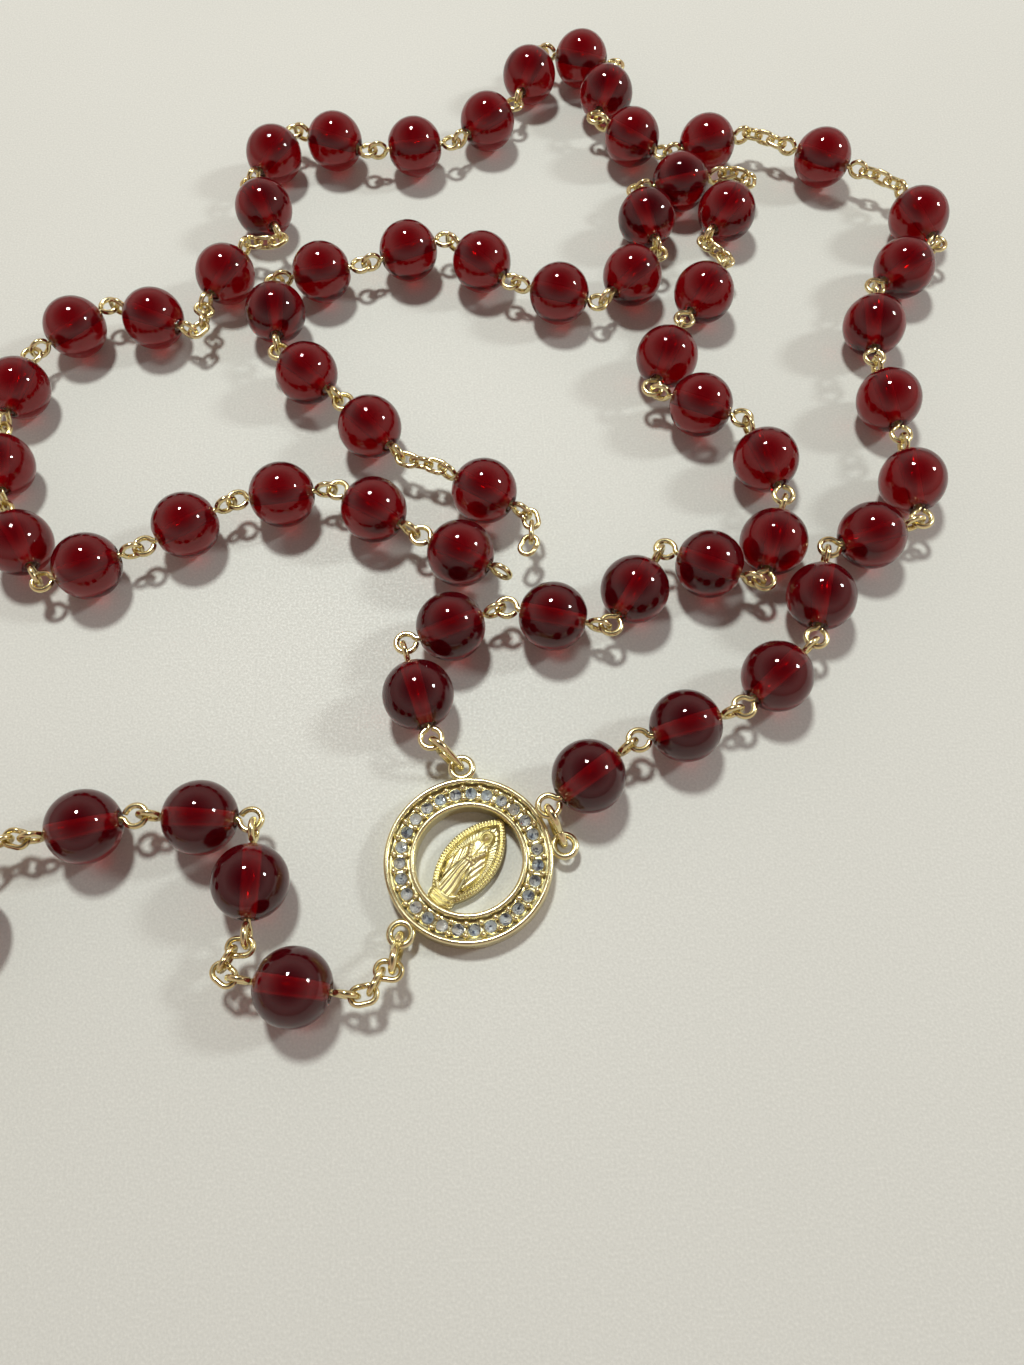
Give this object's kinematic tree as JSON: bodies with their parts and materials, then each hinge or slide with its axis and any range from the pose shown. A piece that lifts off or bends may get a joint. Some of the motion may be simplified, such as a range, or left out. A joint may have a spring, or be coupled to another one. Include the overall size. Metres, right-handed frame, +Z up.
{
  "type": "rosary",
  "caption": "Rosary of red glass beads linked wire to wire by gold eye pins and short chains, with a stone-set centre medal and a drop that ends in a crucifix.",
  "frame": {"origin": "middle of the centre medal's flat back, on the table", "axes": "+Z up from the table; +X to the right and +Y away from a person who has the medal in front of them"},
  "size_m": [0.14, 0.1842, 0.008],
  "materials": {
    "ruby_glass": "polished transparent ruby glass, darker where it is seen through its full depth",
    "wire_gold": "bright pale gold plate on round wire",
    "chain_gold": "bright pale gold plate on small oval links",
    "ring_gold": "bright pale gold plate on heavy wire",
    "medal_gold": "pale gold plate on a casting, polished rims and satin hollows",
    "clear_stone": "faceted clear stones with a mirror-bright sparkle",
    "crucifix_gold": "pale gold plate, polished edges and satin faces"
  },
  "bodies": {
    "medal": {"medal_frame": "medal_gold", "medal_stones": "clear_stone", "medal_figure": "medal_gold"},
    "ring_right": {"jump_ring_right": "ring_gold"},
    "ring_left": {"jump_ring_left": "ring_gold"},
    "ring_drop": {"jump_ring_drop": "ring_gold"},
    "decade_1_a": {"decade_1_beads_a": "ruby_glass", "decade_1_pins_a": "wire_gold"},
    "decade_1_b": {"decade_1_beads_b": "ruby_glass", "decade_1_pins_b": "wire_gold"},
    "our_father_1_chain_near": {"our_father_1_chain_near": "chain_gold"},
    "our_father_1_pin": {"our_father_1_pin": "wire_gold"},
    "our_father_1_bead": {"our_father_1_bead": "ruby_glass"},
    "our_father_1_chain_far": {"our_father_1_chain_far": "chain_gold"},
    "decade_2_a": {"decade_2_beads_a": "ruby_glass", "decade_2_pins_a": "wire_gold"},
    "decade_2_b": {"decade_2_beads_b": "ruby_glass", "decade_2_pins_b": "wire_gold"},
    "our_father_2_chain_near": {"our_father_2_chain_near": "chain_gold"},
    "our_father_2_pin": {"our_father_2_pin": "wire_gold"},
    "our_father_2_bead": {"our_father_2_bead": "ruby_glass"},
    "our_father_2_chain_far": {"our_father_2_chain_far": "chain_gold"},
    "decade_3_a": {"decade_3_beads_a": "ruby_glass", "decade_3_pins_a": "wire_gold"},
    "decade_3_b": {"decade_3_beads_b": "ruby_glass", "decade_3_pins_b": "wire_gold"},
    "decade_5_a": {"decade_5_beads_a": "ruby_glass", "decade_5_pins_a": "wire_gold"},
    "decade_5_b": {"decade_5_beads_b": "ruby_glass", "decade_5_pins_b": "wire_gold"},
    "our_father_4_chain_near": {"our_father_4_chain_near": "chain_gold"},
    "our_father_4_pin": {"our_father_4_pin": "wire_gold"},
    "our_father_4_bead": {"our_father_4_bead": "ruby_glass"},
    "our_father_4_chain_far": {"our_father_4_chain_far": "chain_gold"},
    "decade_4_a": {"decade_4_beads_a": "ruby_glass", "decade_4_pins_a": "wire_gold"},
    "decade_4_b": {"decade_4_beads_b": "ruby_glass", "decade_4_pins_b": "wire_gold"},
    "our_father_3_chain_near": {"our_father_3_chain_near": "chain_gold"},
    "our_father_3_pin": {"our_father_3_pin": "wire_gold"},
    "our_father_3_bead": {"our_father_3_bead": "ruby_glass"},
    "our_father_3_chain_far": {"our_father_3_chain_far": "chain_gold"},
    "drop_chain_1": {"drop_chain_1": "chain_gold"},
    "drop_our_father_pin": {"drop_our_father_pin": "wire_gold"},
    "drop_our_father_bead": {"drop_our_father_bead": "ruby_glass"},
    "drop_chain_2": {"drop_chain_2": "chain_gold"},
    "drop_hail_mary_1_pin": {"drop_hail_mary_1_pin": "wire_gold"},
    "drop_hail_mary_1_bead": {"drop_hail_mary_1_bead": "ruby_glass"},
    "drop_hail_mary_2_pin": {"drop_hail_mary_2_pin": "wire_gold"},
    "drop_hail_mary_2_bead": {"drop_hail_mary_2_bead": "ruby_glass"},
    "drop_hail_mary_3_pin": {"drop_hail_mary_3_pin": "wire_gold"},
    "drop_hail_mary_3_bead": {"drop_hail_mary_3_bead": "ruby_glass"},
    "drop_chain_3": {"drop_chain_3": "chain_gold"},
    "drop_last_our_father_pin": {"drop_last_our_father_pin": "wire_gold"},
    "drop_last_our_father_bead": {"drop_last_our_father_bead": "ruby_glass"},
    "drop_chain_4": {"drop_chain_4": "chain_gold"},
    "crucifix_ring": {"crucifix_ring": "ring_gold"},
    "crucifix": {"crucifix_cross": "crucifix_gold", "crucifix_corpus": "crucifix_gold"}
  },
  "joints": [
    {"name": "ring_right_lean", "type": "hinge", "parent": "medal", "child": "ring_right", "pos_m": [0.00975, 0.00214, 0.0017], "axis": [0.9063, 0.4226, 0], "range_deg": [-10, 60]},
    {"name": "ring_left_lean", "type": "hinge", "parent": "medal", "child": "ring_left", "pos_m": [-0.00144, 0.01104, 0.0017], "axis": [-0.6428, -0.766, 0], "range_deg": [-60, 60]},
    {"name": "ring_drop_lean", "type": "hinge", "parent": "medal", "child": "ring_drop", "pos_m": [-0.00732, -0.00857, 0.0017], "axis": [-0.9903, 0.1392, 0], "range_deg": [-60, 60]},
    {"name": "ring_to_decade_1_a", "type": "hinge", "parent": "ring_right", "child": "decade_1_a", "pos_m": [0.00777, 0.0042, 0.004], "axis": [0.5736, -0.8192, 0], "range_deg": [-30, 0]},
    {"name": "decade_1_a_to_decade_1_b", "type": "hinge", "parent": "decade_1_a", "child": "decade_1_b", "pos_m": [0.05516, 0.03729, 0.004], "axis": [1, 0, 0], "range_deg": [-25, 25]},
    {"name": "decade_1_b_to_our_father_1_chain_near", "type": "hinge", "parent": "decade_1_b", "child": "our_father_1_chain_near", "pos_m": [0.06378, 0.0936, 0.004], "axis": [0.5736, 0.8192, 0], "range_deg": [-35, 35]},
    {"name": "our_father_1_chain_near_to_our_father_1_pin", "type": "hinge", "parent": "our_father_1_chain_near", "child": "our_father_1_pin", "pos_m": [0.05854, 0.09715, 0.004], "axis": [-0.4226, -0.9063, 0], "range_deg": [-60, 60]},
    {"name": "our_father_1_bead_spin", "type": "hinge", "parent": "our_father_1_pin", "child": "our_father_1_bead", "pos_m": [0.05352, 0.10012, 0.004], "axis": [-0.866, 0.5, 0], "continuous": true},
    {"name": "our_father_1_pin_to_our_father_1_chain_far", "type": "hinge", "parent": "our_father_1_pin", "child": "our_father_1_chain_far", "pos_m": [0.0484, 0.10293, 0.004], "axis": [-0.6428, -0.766, 0], "range_deg": [-60, 60]},
    {"name": "our_father_1_chain_far_to_decade_2_a", "type": "hinge", "parent": "our_father_1_chain_far", "child": "decade_2_a", "pos_m": [0.04294, 0.10608, 0.004], "axis": [0.342, 0.9397, 0], "range_deg": [-40, 40]},
    {"name": "decade_2_a_to_decade_2_b", "type": "hinge", "parent": "decade_2_a", "child": "decade_2_b", "pos_m": [0.01042, 0.11511, 0.004], "axis": [0.6428, -0.766, 0], "range_deg": [-60, 60]},
    {"name": "decade_2_b_to_our_father_2_chain_near", "type": "hinge", "parent": "decade_2_b", "child": "our_father_2_chain_near", "pos_m": [-0.0236, 0.08935, 0.004], "axis": [-0.6428, 0.766, 0], "range_deg": [-20, 20]},
    {"name": "our_father_2_chain_near_to_our_father_2_pin", "type": "hinge", "parent": "our_father_2_chain_near", "child": "our_father_2_pin", "pos_m": [-0.02941, 0.08878, 0.004], "axis": [0.342, 0.9397, 0], "range_deg": [-15, 15]},
    {"name": "our_father_2_bead_spin", "type": "hinge", "parent": "our_father_2_pin", "child": "our_father_2_bead", "pos_m": [-0.03148, 0.08256, 0.004], "axis": [-0.4226, -0.9063, 0], "continuous": true},
    {"name": "our_father_2_pin_to_our_father_2_chain_far", "type": "hinge", "parent": "our_father_2_pin", "child": "our_father_2_chain_far", "pos_m": [-0.0348, 0.07713, 0.004], "axis": [0.7071, 0.7071, 0], "range_deg": [-20, 20]},
    {"name": "our_father_2_chain_far_to_decade_3_a", "type": "hinge", "parent": "our_father_2_chain_far", "child": "decade_3_a", "pos_m": [-0.03513, 0.0718, 0.004], "axis": [0.766, -0.6428, 0], "range_deg": [-20, 20]},
    {"name": "decade_3_a_to_decade_3_b", "type": "hinge", "parent": "decade_3_a", "child": "decade_3_b", "pos_m": [-0.0506, 0.0346, 0.004], "axis": [0.342, -0.9397, 0], "range_deg": [-20, 20]},
    {"name": "ring_to_decade_5_a", "type": "hinge", "parent": "ring_left", "child": "decade_5_a", "pos_m": [-0.00339, 0.01198, 0.004], "axis": [-0.9659, -0.2588, 0], "range_deg": [-25, 50]},
    {"name": "decade_5_a_to_decade_5_b", "type": "hinge", "parent": "decade_5_a", "child": "decade_5_b", "pos_m": [0.03485, 0.0299, 0.004], "axis": [0.9397, -0.342, 0], "range_deg": [-15, 15]},
    {"name": "decade_5_b_to_our_father_4_chain_near", "type": "hinge", "parent": "decade_5_b", "child": "our_father_4_chain_near", "pos_m": [0.03752, 0.08011, 0.004], "axis": [0.9397, 0.342, 0], "range_deg": [-25, 25]},
    {"name": "our_father_4_chain_near_to_our_father_4_pin", "type": "hinge", "parent": "our_father_4_chain_near", "child": "our_father_4_pin", "pos_m": [0.03426, 0.08549, 0.004], "axis": [-0.866, -0.5, 0], "range_deg": [-20, 20]},
    {"name": "our_father_4_bead_spin", "type": "hinge", "parent": "our_father_4_pin", "child": "our_father_4_bead", "pos_m": [0.03841, 0.09024, 0.004], "axis": [0.5736, 0.8192, 0], "continuous": true},
    {"name": "our_father_4_pin_to_our_father_4_chain_far", "type": "hinge", "parent": "our_father_4_pin", "child": "our_father_4_chain_far", "pos_m": [0.04206, 0.09489, 0.004], "axis": [-0.9848, 0.1736, 0], "range_deg": [-50, 50]},
    {"name": "our_father_4_chain_far_to_decade_4_a", "type": "hinge", "parent": "our_father_4_chain_far", "child": "decade_4_a", "pos_m": [0.03836, 0.09739, 0.004], "axis": [-0.342, 0.9397, 0], "range_deg": [-45, 60]},
    {"name": "decade_4_a_to_decade_4_b", "type": "hinge", "parent": "decade_4_a", "child": "decade_4_b", "pos_m": [-0.00015, 0.08768, 0.004], "axis": [0.342, -0.9397, 0], "range_deg": [-30, 30]},
    {"name": "decade_4_b_to_our_father_3_chain_near", "type": "hinge", "parent": "decade_4_b", "child": "our_father_3_chain_near", "pos_m": [-0.00692, 0.05045, 0.004], "axis": [0, 0, 1], "range_deg": [0, 60]},
    {"name": "our_father_3_chain_near_to_our_father_3_pin", "type": "hinge", "parent": "our_father_3_chain_near", "child": "our_father_3_pin", "pos_m": [-0.00168, 0.04851, 0.004], "axis": [-0.4226, -0.9063, 0], "range_deg": [-60, 60]},
    {"name": "our_father_3_bead_spin", "type": "hinge", "parent": "our_father_3_pin", "child": "our_father_3_bead", "pos_m": [0.00303, 0.04505, 0.004], "axis": [0.8192, -0.5736, 0], "continuous": true},
    {"name": "our_father_3_pin_to_our_father_3_chain_far", "type": "hinge", "parent": "our_father_3_pin", "child": "our_father_3_chain_far", "pos_m": [0.00842, 0.04128, 0.004], "axis": [0, 0, -1], "range_deg": [-60, 40]},
    {"name": "ring_to_drop_chain_1", "type": "hinge", "parent": "ring_drop", "child": "drop_chain_1", "pos_m": [-0.00772, -0.01141, 0.004], "axis": [0, 0, 1], "range_deg": [-35, 60]},
    {"name": "drop_chain_1_to_drop_our_father_pin", "type": "hinge", "parent": "drop_chain_1", "child": "drop_our_father_pin", "pos_m": [-0.0118, -0.01382, 0.004], "axis": [-0.1736, 0.9848, 0], "range_deg": [-60, 60]},
    {"name": "drop_our_father_bead_spin", "type": "hinge", "parent": "drop_our_father_pin", "child": "drop_our_father_bead", "pos_m": [-0.01754, -0.01255, 0.004], "axis": [-0.9848, 0.1736, 0], "continuous": true},
    {"name": "drop_our_father_pin_to_drop_chain_2", "type": "hinge", "parent": "drop_our_father_pin", "child": "drop_chain_2", "pos_m": [-0.02402, -0.0114, 0.004], "axis": [0, 0, -1], "range_deg": [-60, 15]},
    {"name": "drop_chain_2_to_drop_hail_mary_1_pin", "type": "hinge", "parent": "drop_chain_2", "child": "drop_hail_mary_1_pin", "pos_m": [-0.02171, -0.00843, 0.004], "axis": [0, 1, 0], "range_deg": [-15, 15]},
    {"name": "drop_hail_mary_1_bead_spin", "type": "hinge", "parent": "drop_hail_mary_1_pin", "child": "drop_hail_mary_1_bead", "pos_m": [-0.02246, -0.00185, 0.004], "axis": [0, 1, 0], "continuous": true},
    {"name": "drop_hail_mary_1_pin_to_drop_hail_mary_2_pin", "type": "hinge", "parent": "drop_hail_mary_1_pin", "child": "drop_hail_mary_2_pin", "pos_m": [-0.02246, 0.00473, 0.004], "axis": [0, 0, 1], "range_deg": [-60, 5]},
    {"name": "drop_hail_mary_2_bead_spin", "type": "hinge", "parent": "drop_hail_mary_2_pin", "child": "drop_hail_mary_2_bead", "pos_m": [-0.02823, 0.00524, 0.004], "axis": [-0.9962, 0.0872, 0], "continuous": true},
    {"name": "drop_hail_mary_2_pin_to_drop_hail_mary_3_pin", "type": "hinge", "parent": "drop_hail_mary_2_pin", "child": "drop_hail_mary_3_pin", "pos_m": [-0.03402, 0.00595, 0.004], "axis": [-0.1736, 0.9848, 0], "range_deg": [-60, 60]},
    {"name": "drop_hail_mary_3_bead_spin", "type": "hinge", "parent": "drop_hail_mary_3_pin", "child": "drop_hail_mary_3_bead", "pos_m": [-0.0405, 0.00481, 0.004], "axis": [-0.9848, -0.1736, 0], "continuous": true},
    {"name": "drop_hail_mary_3_pin_to_drop_chain_3", "type": "hinge", "parent": "drop_hail_mary_3_pin", "child": "drop_chain_3", "pos_m": [-0.04698, 0.00366, 0.004], "axis": [0, 0, -1], "range_deg": [-55, 60]},
    {"name": "drop_chain_3_to_drop_last_our_father_pin", "type": "hinge", "parent": "drop_chain_3", "child": "drop_last_our_father_pin", "pos_m": [-0.05172, 0.00163, 0.004], "axis": [0.766, -0.6428, 0], "range_deg": [-45, 45]},
    {"name": "drop_last_our_father_bead_spin", "type": "hinge", "parent": "drop_last_our_father_pin", "child": "drop_last_our_father_bead", "pos_m": [-0.05239, -0.00428, 0.004], "axis": [-0.1736, -0.9848, 0], "continuous": true},
    {"name": "drop_last_our_father_pin_to_drop_chain_4", "type": "hinge", "parent": "drop_last_our_father_pin", "child": "drop_chain_4", "pos_m": [-0.05353, -0.01076, 0.004], "axis": [0, 0, 1], "range_deg": [-60, 60]},
    {"name": "drop_chain_4_to_crucifix_ring", "type": "hinge", "parent": "drop_chain_4", "child": "crucifix_ring", "pos_m": [-0.05491, -0.01618, 0.004], "axis": [-0.9397, 0.342, 0], "range_deg": [-30, 60]},
    {"name": "crucifix_hang", "type": "hinge", "parent": "crucifix_ring", "child": "crucifix", "pos_m": [-0.05557, -0.01799, 0.0017], "axis": [-0.9397, 0.342, 0], "range_deg": [-60, 60]}
  ]
}
